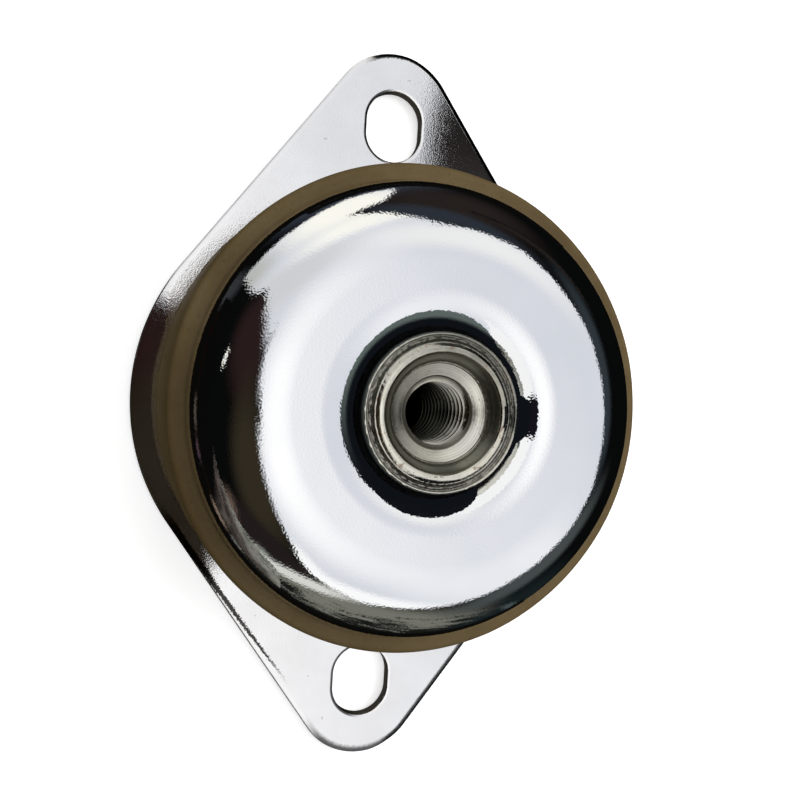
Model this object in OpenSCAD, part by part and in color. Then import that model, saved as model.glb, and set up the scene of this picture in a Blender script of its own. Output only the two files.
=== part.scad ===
// Anti-vibration bell mount. Millimetres.
// Origin: centre of the flat underside of the base plate.
// +Z runs up the mount's axis, and the plate's two ears lie along +Y and -Y.

/* [Base plate] */

// Thickness of the pressed steel base plate
plate_t = 2.5; // [2.2:0.1:2.8]

// Radius of the round at either side of the plate's wide middle
plate_mid_r = 40.9; // [40:0.1:42]

// Distance from the axis to the centre of that round
plate_mid_x = 6.1; // [5.5:0.1:7]

// Distance from the axis to the centre of an ear's round end
ear_y = 56.5; // [54:0.1:58]

// Radius of an ear's round end
ear_r = 12.4; // [12:0.1:13.5]

// Distance between the centres of the two fixing slots
slot_spacing = 109.0; // [108:0.5:110]

// Width of a fixing slot
slot_w = 11.0; // [10:0.1:11.6]

// End to end length of a fixing slot
slot_len = 13.6; // [12.5:0.1:14]

// Height of the top of the plate's pressed hat
hat_top_z = 22.5; // [21.8:0.1:23]

// Radius of the hat's sloping wall where it leaves the flange
hat_foot_r = 30.5; // [29.5:0.1:31.5]

// Radius of the hat's sloping wall at the top
hat_top_r = 23.0; // [22:0.1:24]

// Radius of the hole in the top of the hat
hat_hole_r = 12.5; // [12:0.1:13]

/* [Rubber] */

// Outer radius of the rubber
rubber_r = 42.5; // [42.3:0.1:43.5]

// Height at which the rubber's shoulder meets the bell
rubber_top_z = 28.0; // [27.6:0.1:28.4]

// Radius of the rubber's rounded shoulder
rubber_edge_r = 1.0; // [0.6:0.1:1.6]

/* [Bell] */

// Outer radius of the pressed bell
bell_r = 39.5; // [39.2:0.1:39.8]

// Thickness of the bell's sheet
bell_t = 2.0; // [1.8:0.1:2.2]

// Height of the bell's crown
crown_z = 41.1; // [40.8:0.1:41.3]

// Radius of the bell's shoulder
shoulder_r = 15.0; // [14:0.1:16]

// Height of the bell's lower edge, inside the rubber
rim_z = 24.4; // [24:0.1:25]

// Radius at which the crown starts to fall into the dish
dish_r = 20.3; // [20:0.1:21]

// Radius of the round between the crown and the dish
dish_round = 8.0; // [7.7:0.1:8.2]

// Steepest slope of the dish
dish_slope = 50; // [48:1:51]

/* [Threaded insert] */

// Radius of the plain bore that stands for the thread's minor diameter
bore_r = 5.1; // [5:0.05:5.25]

// Radius of the insert's body
insert_r = 9.0; // [8.8:0.1:9.2]

// Outer radius of the swaged lip
lip_r = 13.15; // [12.9:0.05:13.3]

// Height of the lip's crest
lip_top_z = 41.5; // [41.3:0.1:41.8]

// Height at which the thread starts
thread_top_z = 38.1; // [37.9:0.1:38.3]

// Height of the insert's lower end
insert_foot_z = 13.0; // [12.5:0.1:13.5]

/* [Rebound washer] */

// Radius of the captive washer
washer_r = 17.0; // [16.5:0.1:17.5]

// Thickness of the captive washer
washer_t = 3.0; // [2.6:0.1:3.2]

/* [Hidden] */

$fn = 96;

// bonded rubber stops this far short of the bell
bond_gap = 0.04;

// hat wall: slope from the vertical and the sheet's width measured level
hat_a = atan((hat_foot_r - hat_top_r) / (hat_top_z - plate_t));
hat_w = plate_t / cos(hat_a);
function hat_out(z) = hat_foot_r - (z - plate_t) * tan(hat_a);
function hat_in(z) = hat_out(z) - hat_w;
// round on the underside, between the flat and the hat's inner wall
foot_round = 3.0;
foot_c = [hat_in(foot_round) + foot_round / cos(hat_a), foot_round];
// round over the hat's top edge
top_round = 3.0;
top_c = [hat_out(hat_top_z - top_round) - top_round / cos(hat_a), hat_top_z - top_round];

// bell
wall_top = crown_z - shoulder_r;
flat_r = bell_r - shoulder_r;
dish_c = [dish_r, crown_z - dish_round];
// the dish's foot runs out on a hollow round into the flat seat under the insert's lip
seat_round = 2.0;
seat_c = [dish_c[0] - (dish_round + seat_round) * sin(dish_slope),
          dish_c[1] + (dish_round + seat_round) * cos(dish_slope)];
seat_z = seat_c[1] - seat_round;
// sheet edge of the centre hole, held under the lip
bell_hole_r = 10.4;

// insert
washer_top = insert_foot_z + 1.0 + washer_t;
seat_r = 8.0;      // radius of the insert where the washer sits
collar_r = 12.4;   // collar that backs the bell's sheet from below

// tangent points of the line that joins a middle round to an ear's round, and the direction it faces
tan_a = atan2(ear_y, -plate_mid_x) - acos((plate_mid_r - ear_r) / norm([plate_mid_x, ear_y]));
// the straight edge lies this far inside the two rounds, so that it meets them at clean points
tan_in = 0.004;
tan_mid = [plate_mid_x + (plate_mid_r - tan_in) * cos(tan_a), (plate_mid_r - tan_in) * sin(tan_a)];
tan_ear = [(ear_r - tan_in) * cos(tan_a), ear_y + (ear_r - tan_in) * sin(tan_a)];

module plate_outline() {
    for (s = [-1, 1]) {
        translate([s * plate_mid_x, 0]) circle(r = plate_mid_r, $fn = 180);
        translate([0, s * ear_y]) circle(r = ear_r);
        polygon([[-tan_mid[0], s * tan_mid[1]], [-tan_ear[0], s * tan_ear[1]],
                 [tan_ear[0], s * tan_ear[1]], [tan_mid[0], s * tan_mid[1]]]);
    }
}

module slot_outline() {
    d = (slot_len - slot_w) / 2;
    translate([0, d]) circle(r = slot_w / 2);
    translate([0, -d]) circle(r = slot_w / 2);
    translate([-slot_w / 2, -d]) square([slot_w, 2 * d]);
}

// half section of the hat's sheet, from the hole to just past its foot
module hat_section() {
    difference() {
        union() {
            polygon([[hat_hole_r, 0], [hat_hole_r, hat_top_z], [top_c[0], hat_top_z],
                     [top_c[0] + top_round * cos(hat_a), top_c[1] + top_round * sin(hat_a)],
                     [hat_foot_r, plate_t], [foot_c[0] + 6, plate_t], [foot_c[0] + 6, 0]]);
            translate(top_c) circle(r = top_round);
        }
        difference() {
            polygon([[0, -1], [0, hat_top_z - plate_t], [hat_in(hat_top_z - plate_t), hat_top_z - plate_t],
                     [foot_c[0] - foot_round * cos(hat_a), foot_c[1] - foot_round * sin(hat_a)],
                     foot_c, [foot_c[0], -1]]);
            translate(foot_c) circle(r = foot_round);
        }
    }
}

// everything inside the bell's outer (t = 0) or inner face
module bell_fill(t, z0) {
    translate([0, z0]) square([bell_r - t, wall_top - z0]);
    translate([0, z0]) square([flat_r, crown_z - t - z0]);
    intersection() {
        translate([flat_r, wall_top]) circle(r = shoulder_r - t, $fn = 180);
        translate([flat_r, wall_top]) square([shoulder_r, shoulder_r]);
    }
}

// region above the dish's outer (t = 0) or inner face
module dish_air(t) {
    difference() {
        polygon([[-1, seat_z - t], [seat_c[0], seat_z - t], seat_c, dish_c,
                 [dish_r, crown_z + 2], [-1, crown_z + 2]]);
        translate(dish_c) circle(r = dish_round - t, $fn = 180);
    }
    translate(seat_c) circle(r = seat_round + t);
}

module base_plate() {
    color([0.80, 0.80, 0.81])
    union() {
        linear_extrude(height = plate_t) difference() {
            plate_outline();
            circle(r = foot_c[0] + 3);
            for (s = [-1, 1]) translate([0, s * slot_spacing / 2]) slot_outline();
        }
        rotate_extrude($fn = 180) intersection() {
            hat_section();
            square([foot_c[0] + 3, hat_top_z + 1]);
        }
    }
}

module rubber_body() {
    color([0.36, 0.31, 0.20])
    rotate_extrude($fn = 180) difference() {
        union() {
            // wall and shoulder outside the bell
            difference() {
                union() {
                    translate([0, plate_t]) square([rubber_r, rubber_top_z - rubber_edge_r - plate_t]);
                    translate([0, plate_t]) square([rubber_r - rubber_edge_r, rubber_top_z - plate_t]);
                    translate([rubber_r - rubber_edge_r, rubber_top_z - rubber_edge_r]) circle(r = rubber_edge_r);
                }
                bell_fill(-bond_gap, rim_z - bond_gap);
            }
            // filling inside the bell
            difference() {
                bell_fill(bell_t + bond_gap, plate_t);
                dish_air(bell_t + bond_gap);
            }
        }
        // the pressed hat and the well round the insert
        polygon([[-1, 0], [-1, hat_top_z], [top_c[0], hat_top_z],
                 top_c,
                 [top_c[0] + top_round * cos(hat_a), top_c[1] + top_round * sin(hat_a)],
                 [hat_foot_r, plate_t], [hat_foot_r, 0]]);
        translate(top_c) circle(r = top_round);
        translate([-1, 0]) square([1 + collar_r + 0.6, crown_z]);
    }
}

module dome_cap() {
    color([0.86, 0.87, 0.88])
    rotate_extrude($fn = 180) difference() {
        bell_fill(0, rim_z);
        dish_air(0);
        difference() {
            bell_fill(bell_t, rim_z - 1);
            dish_air(bell_t);
        }
        translate([-1, rim_z]) square([1 + bell_hole_r, 20]);
    }
}

module threaded_insert() {
    color([0.74, 0.72, 0.66])
    rotate_extrude($fn = 120) polygon([
        [bore_r, insert_foot_z + 0.6], [bore_r + 0.6, insert_foot_z],
        [seat_r + 2.4, insert_foot_z], [seat_r + 2.8, insert_foot_z + 0.4], [seat_r + 2.8, insert_foot_z + 1],
        [seat_r, insert_foot_z + 1], [seat_r, washer_top], [insert_r, washer_top],
        [insert_r, seat_z - bell_t - 3.0], [collar_r - 0.4, seat_z - bell_t - 3.0],
        [collar_r, seat_z - bell_t - 2.6], [collar_r, seat_z - bell_t],
        [bell_hole_r, seat_z - bell_t], [bell_hole_r, seat_z], [seat_c[0], seat_z],
        [lip_r, seat_z + 0.3], [lip_r, lip_top_z - 1.1], [lip_r - 0.2, lip_top_z - 0.9],
        [lip_r - 0.5, lip_top_z - 1.05], [lip_r - 1.2, lip_top_z - 1.1], [lip_r - 1.5, lip_top_z - 0.75],
        [lip_r - 1.85, lip_top_z - 0.45], [lip_r - 2.5, lip_top_z - 0.1], [lip_r - 2.9, lip_top_z],
        [lip_r - 3.15, lip_top_z - 0.1], [lip_r - 3.4, lip_top_z - 0.45],
        [8.45, thread_top_z + 1.7], [8.2, thread_top_z + 1.15], [8.0, thread_top_z + 0.95],
        [5.75, thread_top_z], [bore_r, thread_top_z - 0.6]]);
}

module rebound_washer() {
    color([0.62, 0.62, 0.60])
    translate([0, 0, insert_foot_z + 1]) difference() {
        cylinder(r = washer_r, h = washer_t, $fn = 120);
        translate([0, 0, -1]) cylinder(r = seat_r, h = washer_t + 2, $fn = 120);
    }
}

base_plate();
rubber_body();
dome_cap();
threaded_insert();
rebound_washer();
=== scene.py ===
import math
import random

import bpy
import numpy as np
from mathutils import Matrix, Vector
from mathutils.geometry import tessellate_polygon


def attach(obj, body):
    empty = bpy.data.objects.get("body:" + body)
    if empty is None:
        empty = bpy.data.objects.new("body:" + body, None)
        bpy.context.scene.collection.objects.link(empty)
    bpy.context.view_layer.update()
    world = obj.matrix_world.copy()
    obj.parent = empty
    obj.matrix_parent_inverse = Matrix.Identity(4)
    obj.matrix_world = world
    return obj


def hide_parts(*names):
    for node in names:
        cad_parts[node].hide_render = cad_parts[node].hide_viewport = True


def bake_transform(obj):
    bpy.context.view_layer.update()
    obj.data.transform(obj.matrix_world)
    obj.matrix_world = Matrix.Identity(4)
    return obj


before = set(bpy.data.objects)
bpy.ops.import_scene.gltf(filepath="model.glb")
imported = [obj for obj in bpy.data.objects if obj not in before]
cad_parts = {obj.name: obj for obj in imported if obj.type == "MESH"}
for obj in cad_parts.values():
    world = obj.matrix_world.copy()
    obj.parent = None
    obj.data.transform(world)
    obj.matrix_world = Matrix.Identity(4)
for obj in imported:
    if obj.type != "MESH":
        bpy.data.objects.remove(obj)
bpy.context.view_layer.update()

MM = 0.001
rng = random.Random(20)


# ---------------------------------------------------------------- mesh helpers

class Solid:
    """Collects faces with a normal at each corner, in millimetres, and shares equal points."""

    def __init__(self):
        self.v, self.key, self.f, self.n = [], {}, [], []

    def vert(self, p):
        k = (round(p[0] * 2e4), round(p[1] * 2e4), round(p[2] * 2e4))
        if k not in self.key:
            self.key[k] = len(self.v)
            self.v.append(p)
        return self.key[k]

    def face(self, pts, nrm=None):
        ids, ns = [], []
        for i, p in enumerate(pts):
            k = self.vert(p)
            if k in ids:
                continue
            ids.append(k)
            ns.append(nrm[i] if nrm else (0, 0, 0))
        if len(ids) >= 3:
            self.f.append(ids)
            self.n.append(ns)

    def make(self, name, custom=True, sharp_deg=None):
        me = bpy.data.meshes.new(name)
        me.from_pydata([(x * MM, y * MM, z * MM) for x, y, z in self.v], [], self.f)
        me.polygons.foreach_set("use_smooth", [True] * len(me.polygons))
        ob = bpy.data.objects.new(name, me)
        bpy.context.scene.collection.objects.link(ob)
        if custom:
            me.normals_split_custom_set([n for ns in self.n for n in ns])
        elif sharp_deg is not None:
            me.set_sharp_from_angle(angle=math.radians(sharp_deg))
        me.update()
        return ob


def line(p, q, n=1):
    """Points from p to q, each with the direction of travel."""
    d = np.array(q, float) - np.array(p, float)
    t = d / np.linalg.norm(d)
    return [(tuple(np.array(p) + d * k / n), tuple(t)) for k in range(n + 1)]


def arc(c, r, a0, a1, n):
    """Points on an arc from a0 to a1 degrees, each with the direction of travel."""
    out, s = [], 1 if a1 > a0 else -1
    for k in range(n + 1):
        a = math.radians(a0 + (a1 - a0) * k / n)
        out.append(((c[0] + r * math.cos(a), c[1] + r * math.sin(a)),
                    (-s * math.sin(a), s * math.cos(a))))
    return out


def lathe(solid, segs, cols):
    """Turns profile segments (interior on the left of travel) about the axis."""
    cs = [(math.cos(2 * math.pi * i / cols), math.sin(2 * math.pi * i / cols)) for i in range(cols)]
    for seg in segs:
        for (p, tp), (q, tq) in zip(seg[:-1], seg[1:]):
            for i in range(cols):
                c0, s0 = cs[i]
                c1, s1 = cs[(i + 1) % cols]
                solid.face(
                    [(p[0] * c0, p[0] * s0, p[1]), (p[0] * c1, p[0] * s1, p[1]),
                     (q[0] * c1, q[0] * s1, q[1]), (q[0] * c0, q[0] * s0, q[1])],
                    [(tp[1] * c0, tp[1] * s0, -tp[0]), (tp[1] * c1, tp[1] * s1, -tp[0]),
                     (tq[1] * c1, tq[1] * s1, -tq[0]), (tq[1] * c0, tq[1] * s0, -tq[0])])


def waves(count, lo, hi, seed):
    """A smooth closed random line round a circle: a function of the angle, from about -1 to 1."""
    r = random.Random(seed)
    terms = [(r.randint(lo, hi), r.uniform(0, 2 * math.pi), r.uniform(0.5, 1.0)) for _ in range(count)]
    total = math.sqrt(sum(a * a for _, _, a in terms) / 2) * 2
    return lambda t: sum(a * math.sin(k * t + ph) for k, ph, a in terms) / total


# ---------------------------------------------------------------- sizes, mm

PLATE_T, MID_R, MID_X, EAR_Y, EAR_R = 2.5, 40.88, 6.1, 56.5, 12.38
SLOT_Y, SLOT_W, SLOT_L = 54.5, 11.0, 13.6
HAT_TOP, HAT_FOOT_R, HAT_TOP_R, HAT_HOLE = 22.5, 30.5, 23.0, 12.5
RUB_R, RUB_TOP = 42.5, 28.0
BELL_R, BELL_T, CROWN, SHOULDER, RIM = 39.5, 2.0, 41.1, 15.0, 24.4
DISH_R, DISH_ROUND, SLOPE, SEAT_ROUND, BELL_HOLE = 20.3, 8.0, 50.0, 2.0, 10.4
LIP_R, LIP_TOP, THREAD_TOP, FOOT_Z = 13.15, 41.5, 38.1, 13.0
GAP = 0.04

sl = math.radians(SLOPE)
DISH_C = (DISH_R, CROWN - DISH_ROUND)
SEAT_C = (DISH_C[0] - (DISH_ROUND + SEAT_ROUND) * math.sin(sl),
          DISH_C[1] + (DISH_ROUND + SEAT_ROUND) * math.cos(sl))
SEAT_Z = SEAT_C[1] - SEAT_ROUND
WALL_TOP, FLAT_R = CROWN - SHOULDER, BELL_R - SHOULDER
HAT_A = math.atan((HAT_FOOT_R - HAT_TOP_R) / (HAT_TOP - PLATE_T))


def hat_out(z):
    return HAT_FOOT_R - (z - PLATE_T) * math.tan(HAT_A)


def hat_in(z):
    return hat_out(z) - PLATE_T / math.cos(HAT_A)


HAT_DEG = math.degrees(HAT_A)
FOOT_C = (hat_in(3.0) + 3.0 / math.cos(HAT_A), 3.0)
TOP_C = (hat_out(HAT_TOP - 3.0) - 3.0 / math.cos(HAT_A), HAT_TOP - 3.0)


# ---------------------------------------------------------------- bell

def make_bell():
    s = Solid()
    segs = [
        line((BELL_R - 0.25, RIM), (BELL_R, RIM + 0.25)),
        line((BELL_R, RIM + 0.25), (BELL_R, WALL_TOP), 2),
        arc((FLAT_R, WALL_TOP), SHOULDER, 0, 90, 60),
        line((FLAT_R, CROWN), (DISH_R, CROWN), 4),
        arc(DISH_C, DISH_ROUND, 90, 90 + SLOPE, 26),
        arc(SEAT_C, SEAT_ROUND, SLOPE - 90, -90, 14),
        line((SEAT_C[0], SEAT_Z), (BELL_HOLE, SEAT_Z), 2),
        line((BELL_HOLE, SEAT_Z), (BELL_HOLE, SEAT_Z - BELL_T), 1),
        line((BELL_HOLE, SEAT_Z - BELL_T), (SEAT_C[0], SEAT_Z - BELL_T), 2),
        arc(SEAT_C, SEAT_ROUND + BELL_T, -90, SLOPE - 90, 8),
        arc(DISH_C, DISH_ROUND - BELL_T, 90 + SLOPE, 90, 12),
        line((DISH_R, CROWN - BELL_T), (FLAT_R, CROWN - BELL_T), 2),
        arc((FLAT_R, WALL_TOP), SHOULDER - BELL_T, 90, 0, 24),
        line((BELL_R - BELL_T, WALL_TOP), (BELL_R - BELL_T, RIM), 1),
        line((BELL_R - BELL_T, RIM), (BELL_R - 0.25, RIM), 1),
    ]
    lathe(s, segs, 320)
    return s.make("chromed_bell")


# ---------------------------------------------------------------- rubber

def make_rubber_wall():
    s = Solid()
    z28 = FLAT_R + math.sqrt(SHOULDER ** 2 - (RUB_TOP - WALL_TOP) ** 2)
    cols = 240
    edge = waves(9, 2, 17, 3)
    lip = waves(14, 5, 60, 4)
    foot = waves(14, 6, 70, 5)
    side = waves(7, 2, 9, 6)

    # (radius, height, what moves the point off the true turned shape)
    prof = [(RUB_R, PLATE_T, "foot0"), (RUB_R, PLATE_T + 0.15, "foot"), (RUB_R - 0.10, PLATE_T + 0.35, "foot"),
            (RUB_R - 0.22, PLATE_T + 0.7, "side"), (RUB_R - 0.24, PLATE_T + 1.4, "side")]
    for z in (6.0, 9.0, 12.0, 15.0, 18.0, 21.0, 24.0):
        prof.append((RUB_R - 0.24 + 0.22 * (z - 4) / 20, z, "side"))
    prof.append((RUB_R, RUB_TOP - 1.25, "side"))
    for k in range(1, 13):
        a = math.radians(90 * k / 12)
        prof.append((RUB_R - 1.25 + 1.25 * math.cos(a), RUB_TOP - 1.25 + 1.25 * math.sin(a), "edge"))
    top_in = z28 + 0.10
    for r in (41.0, 40.7, 40.4, 40.1):
        prof.append((r, RUB_TOP, "edge"))
    prof += [(top_in, RUB_TOP, "lip"), (z28 + GAP + 0.005, RUB_TOP - 0.03, "edge"), (z28 + GAP + 0.03, RUB_TOP - 0.30, None)]
    outer = [
        arc((FLAT_R, WALL_TOP), SHOULDER + GAP, math.degrees(math.asin((RUB_TOP - 0.45 - WALL_TOP) / SHOULDER)), 0, 6),
        line((BELL_R + GAP, WALL_TOP), (BELL_R + GAP, RIM - GAP), 2),
        line((BELL_R + GAP, RIM - GAP), (BELL_R - BELL_T - GAP, RIM - GAP), 1),
        line((BELL_R - BELL_T - GAP, RIM - GAP), (BELL_R - BELL_T - GAP, WALL_TOP), 1),
        arc((FLAT_R, WALL_TOP), SHOULDER - BELL_T - GAP, 0, 90, 24),
        line((FLAT_R, CROWN - BELL_T - GAP), (23.5, CROWN - BELL_T - GAP), 1),
    ]
    a_cut = math.degrees(math.acos((23.5 - TOP_C[0]) / 3.0))
    z_cut = TOP_C[1] + 3.0 * math.sin(math.radians(a_cut))
    inner = [
        line((23.5, CROWN - BELL_T - GAP), (23.5, z_cut), 10),
        arc(TOP_C, 3.0, a_cut, HAT_DEG, 3),
        line((TOP_C[0] + 3.0 * math.cos(HAT_A), TOP_C[1] + 3.0 * math.sin(HAT_A)), (HAT_FOOT_R, PLATE_T), 12),
        line((HAT_FOOT_R, PLATE_T), (RUB_R, PLATE_T), 3),
    ]
    pts = list(prof)
    for seg in outer + inner:
        for (p, _) in seg:
            if math.hypot(pts[-1][0] - p[0], pts[-1][1] - p[1]) > 1e-4:
                pts.append((p[0], p[1], None))
    if math.hypot(pts[-1][0] - pts[0][0], pts[-1][1] - pts[0][1]) < 1e-4:
        pts.pop()
    grid = []
    for i in range(cols):
        t = 2 * math.pi * i / cols
        e, l, f, w = edge(t), lip(t), foot(t), side(t)
        col = []
        for r, z, kind in pts:
            if kind == "side":
                r += 0.05 * w - 0.05
            elif kind == "edge":
                r += 0.05 * w - 0.05
                z += 0.05 * e - 0.05
            elif kind == "lip":
                z += 0.05 * e - 0.05
            elif kind == "foot":
                r += 0.09 * f - 0.10
                z += 0.05 * f
            elif kind == "foot0":
                r += 0.09 * f - 0.10
            col.append((r * math.cos(t), r * math.sin(t), z))
        grid.append(col)
    n = len(pts)
    for i in range(cols):
        a, b = grid[i], grid[(i + 1) % cols]
        for j in range(n):
            k = (j + 1) % n
            s.face([a[j], b[j], b[k], a[k]])
    return s.make("moulded_rubber_wall", custom=False, sharp_deg=38)


def make_rubber_core():
    s = Solid()
    a_cut = math.degrees(math.acos((23.5 - TOP_C[0]) / 3.0))
    z_cut = TOP_C[1] + 3.0 * math.sin(math.radians(a_cut))
    ro, rs = DISH_ROUND - BELL_T - GAP, SEAT_ROUND + BELL_T + GAP
    well = 13.0
    a_in = -math.degrees(math.acos((well - SEAT_C[0]) / rs))
    z_in = SEAT_C[1] + rs * math.sin(math.radians(a_in))
    segs = [
        line((23.5, z_cut), (23.5, CROWN - BELL_T - GAP), 10),
        line((23.5, CROWN - BELL_T - GAP), (DISH_R, CROWN - BELL_T - GAP), 1),
        arc(DISH_C, ro, 90, 90 + SLOPE, 12),
        arc(SEAT_C, rs, SLOPE - 90, a_in, 8),
        line((well, z_in), (well, HAT_TOP), 10),
        line((well, HAT_TOP), (TOP_C[0], HAT_TOP), 1),
        arc(TOP_C, 3.0, 90, a_cut, 6),
    ]
    lathe(s, segs, 160)
    return s.make("moulded_rubber_core")


# ---------------------------------------------------------------- base plate

def plate_loop(n_mid=110, n_ear=56, n_line=14):
    """The plate's outline, anticlockwise from above: (point, outward normal)."""
    pts = []

    def add_arc(c, r, a0, a1, n):
        for k in range(n + 1):
            a = a0 + (a1 - a0) * k / n
            pts.append(((c[0] + r * math.cos(a), c[1] + r * math.sin(a)), (math.cos(a), math.sin(a))))

    def add_line(p, q, nrm, n):
        for k in range(1, n):
            pts.append(((p[0] + (q[0] - p[0]) * k / n, p[1] + (q[1] - p[1]) * k / n), nrm))

    # direction of the tangent points, from +X
    h = math.atan2(EAR_Y, -MID_X) - math.acos((MID_R - EAR_R) / math.hypot(MID_X, EAR_Y))
    for quarter in (0, 1):
        turn = math.pi * quarter
        c, s_ = math.cos(turn), math.sin(turn)

        def rot(p):
            return (p[0] * c - p[1] * s_, p[0] * s_ + p[1] * c)
        add_arc(rot((MID_X, 0)), MID_R, turn - h, turn + h, n_mid)
        nr = (math.cos(h), math.sin(h))
        add_line(rot((MID_X + MID_R * nr[0], MID_R * nr[1])), rot((EAR_R * nr[0], EAR_Y + EAR_R * nr[1])), rot(nr), n_line)
        add_arc(rot((0, EAR_Y)), EAR_R, turn + h, turn + math.pi - h, n_ear)
        nr2 = (-nr[0], nr[1])
        add_line(rot((EAR_R * nr2[0], EAR_Y + EAR_R * nr2[1])), rot((-MID_X + MID_R * nr2[0], MID_R * nr2[1])), rot(nr2), n_line)
    out = []
    for p, n in pts:
        if not out or math.hypot(p[0] - out[-1][0][0], p[1] - out[-1][0][1]) > 1e-3:
            out.append((p, n))
    if math.hypot(out[0][0][0] - out[-1][0][0], out[0][0][1] - out[-1][0][1]) < 1e-3:
        out.pop()
    return out


def slot_loop(sign, n=44):
    """A slot's outline, clockwise from above, with the normal out of the metal, into the slot."""
    d, r, pts = (SLOT_L - SLOT_W) / 2, SLOT_W / 2, []
    for k in range(n + 1):
        a = math.pi * k / n
        pts.append(((r * math.cos(a), d + r * math.sin(a)), (-math.cos(a), -math.sin(a))))
    for k in range(1, 4):
        pts.append(((-r, d - 2 * d * k / 4), (1, 0)))
    for k in range(n + 1):
        a = math.pi + math.pi * k / n
        pts.append(((r * math.cos(a), -d + r * math.sin(a)), (-math.cos(a), -math.sin(a))))
    for k in range(1, 4):
        pts.append(((r, -d + 2 * d * k / 4), (-1, 0)))
    return [((p[0], p[1] + sign * SLOT_Y), n_) for p, n_ in reversed(pts)]


def ease(x, a, b):
    """0 at a, 1 at b, smooth between."""
    t = min(1.0, max(0.0, (x - a) / (b - a)))
    return t * t * (3 - 2 * t)


def edge_at(p, kind):
    """How the sheared edge is drawn down there: (width, slope in degrees)."""
    if kind == "slot":
        return 0.75, 9.0
    x, y = p
    off = abs(math.degrees(math.atan2(y, abs(x))))
    # widest round the plate's middle, where the blank was drawn, and carried on further towards -Y
    middle = 1 - (ease(off, 13.0, 29.0) if y > 0 else ease(off, 34.0, 47.0))
    width, slope = 1.10 + 2.8 * middle, 8.0 + 3.5 * middle
    if y < 0:
        # the -Y side's long edges carry a broader roll than the +Y side's, which narrows towards the ear
        long_edge = ease(off, 24.0, 37.0) * (1 - ease(abs(y), 38.0, 62.0))
        width += 0.60 * long_edge
        slope += 4.0 * long_edge
        rubbed = ease(off, 50.0, 60.0) * ease(x, 2.0, 7.0)
        width += (1.70 - width) * rubbed
        slope += (23.0 - slope) * rubbed
    else:
        # the +Y ear is rubbed down over its end and along its +X side
        rubbed = ease(off, 50.0, 60.0) * ease(x, -8.0, -4.0)
        width += (0.95 + 0.45 * ease(x, 1.0, 8.0) - width) * rubbed
        slope += (36.0 - slope) * rubbed
    return width, slope


def edge_rows(width, slope, roll=0.42):
    """From the flat top over the drawn-down edge: (distance in from the edge, drop, slope in degrees)."""
    blend = 0.30 * width
    end = 78.0
    rows = [(width, 0.0, 0.0)]
    x, z = width, 0.0
    run = width - blend - roll * (math.sin(math.radians(end)) - math.sin(math.radians(slope * 1.15)))
    steps = [(blend / 4, slope * (k + 0.5) / 4, slope * (k + 1) / 4) for k in range(4)]
    steps += [(run / 4, slope * (1 + 0.15 * (k + 0.5) / 4), slope * (1 + 0.15 * (k + 1) / 4)) for k in range(4)]
    for w, a_mid, a_end in steps:
        x -= w
        z += w * math.tan(math.radians(a_mid))
        rows.append((x, z, a_end))
    a0 = slope * 1.15
    x0, z0 = x, z
    for k in range(1, 9):
        a = a0 + (end - a0) * k / 8
        rows.append((x0 - roll * (math.sin(math.radians(a)) - math.sin(math.radians(a0))),
                     z0 + roll * (math.cos(math.radians(a0)) - math.cos(math.radians(a))), a))
    rows[-1] = (0.0, rows[-1][1], end)
    return rows


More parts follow.
